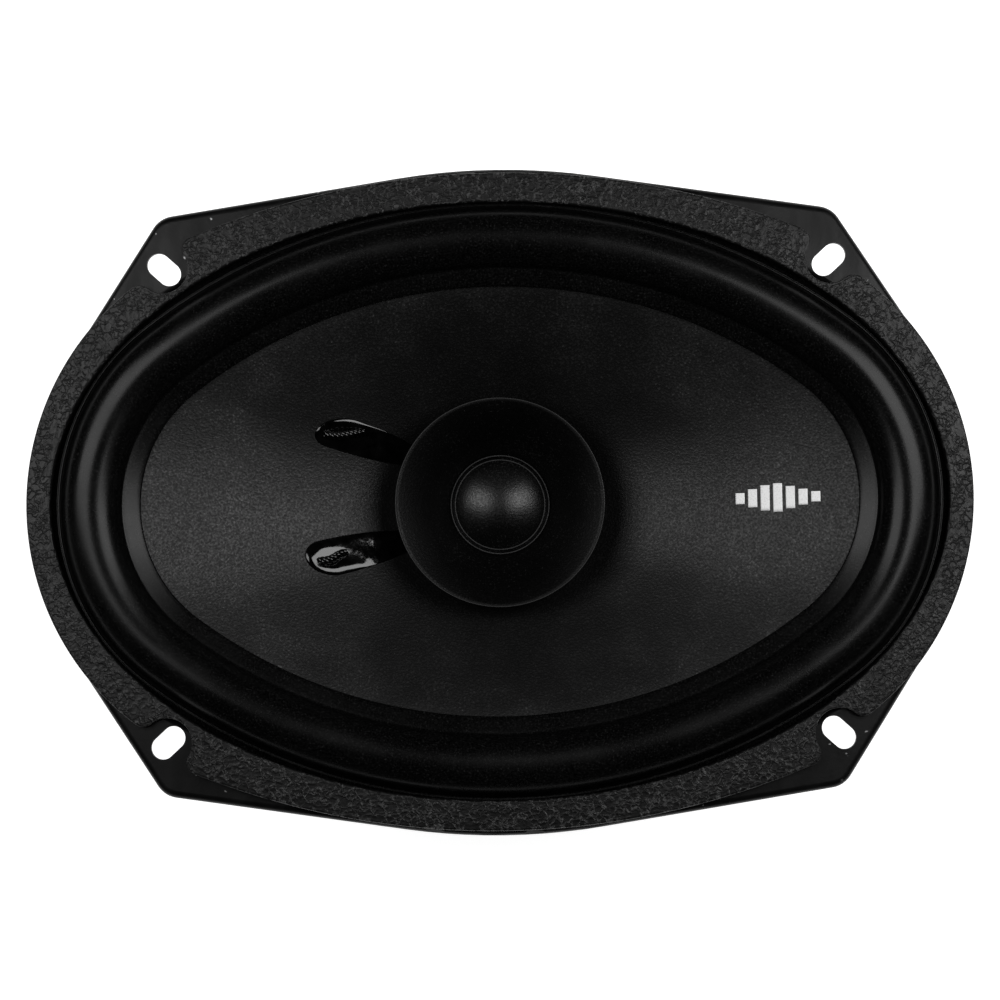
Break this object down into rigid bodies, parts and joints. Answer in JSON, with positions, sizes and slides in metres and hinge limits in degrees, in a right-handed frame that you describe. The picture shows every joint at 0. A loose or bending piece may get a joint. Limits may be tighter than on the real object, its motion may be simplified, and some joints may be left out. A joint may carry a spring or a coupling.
{
  "type": "coaxial car speaker",
  "caption": "Oval 6x9 inch car speaker with a paper cone, a coaxial flared whizzer cone for high frequencies, a pressed steel basket, a ferrite motor and blade terminals.",
  "frame": {"origin": "middle of the plane where the flange's turned-back edge meets the panel", "axes": "+Z out of the front, the way the sound leaves; +X along the long axis of the oval; the terminals are at -X"},
  "size_m": [0.235, 0.166, 0.0862],
  "materials": {
    "basket_paint": "satin",
    "gasket_rubber": "matte",
    "surround_rubber": "satin",
    "spider_cloth": "matte",
    "cone_paper": "matte",
    "cap_paper": "matte",
    "former_foil": "satin",
    "coil_copper": "gloss",
    "eyelet_brass": "satin",
    "lead_adhesive": "gloss",
    "tinsel_braid": "satin",
    "plated_steel": "satin",
    "ferrite": "matte",
    "board_laminate": "satin",
    "tinned_brass": "satin"
  },
  "bodies": {
    "root": {"basket": "basket_paint", "front_gasket": "gasket_rubber", "top_plate": "plated_steel", "magnet": "ferrite", "t_yoke": "plated_steel", "staking_rivets": "plated_steel", "terminal_board": "board_laminate", "positive_terminal": "tinned_brass", "negative_terminal": "tinned_brass", "terminal_rivets": "tinned_brass", "terminal_board_rivets": "plated_steel"},
    "cone_assembly": {"cone": "cone_paper", "whizzer_cone": "cone_paper", "dust_cap": "cap_paper", "voice_coil_former": "former_foil", "voice_coil_winding": "coil_copper", "lead_eyelets": "eyelet_brass", "lead_seal_upper": "lead_adhesive", "lead_seal_lower": "lead_adhesive", "surround": "surround_rubber", "spider": "spider_cloth", "tinsel_lead_positive": "tinsel_braid", "tinsel_lead_negative": "tinsel_braid"}
  },
  "joints": [
    {"name": "cone_stroke", "type": "slide", "parent": "root", "child": "cone_assembly", "axis": [0, 0, 1], "range_m": [-0.004, 0.004], "stiffness_N_per_m": 1800, "deforming": ["surround", "spider", "tinsel_lead_positive", "tinsel_lead_negative"]}
  ]
}
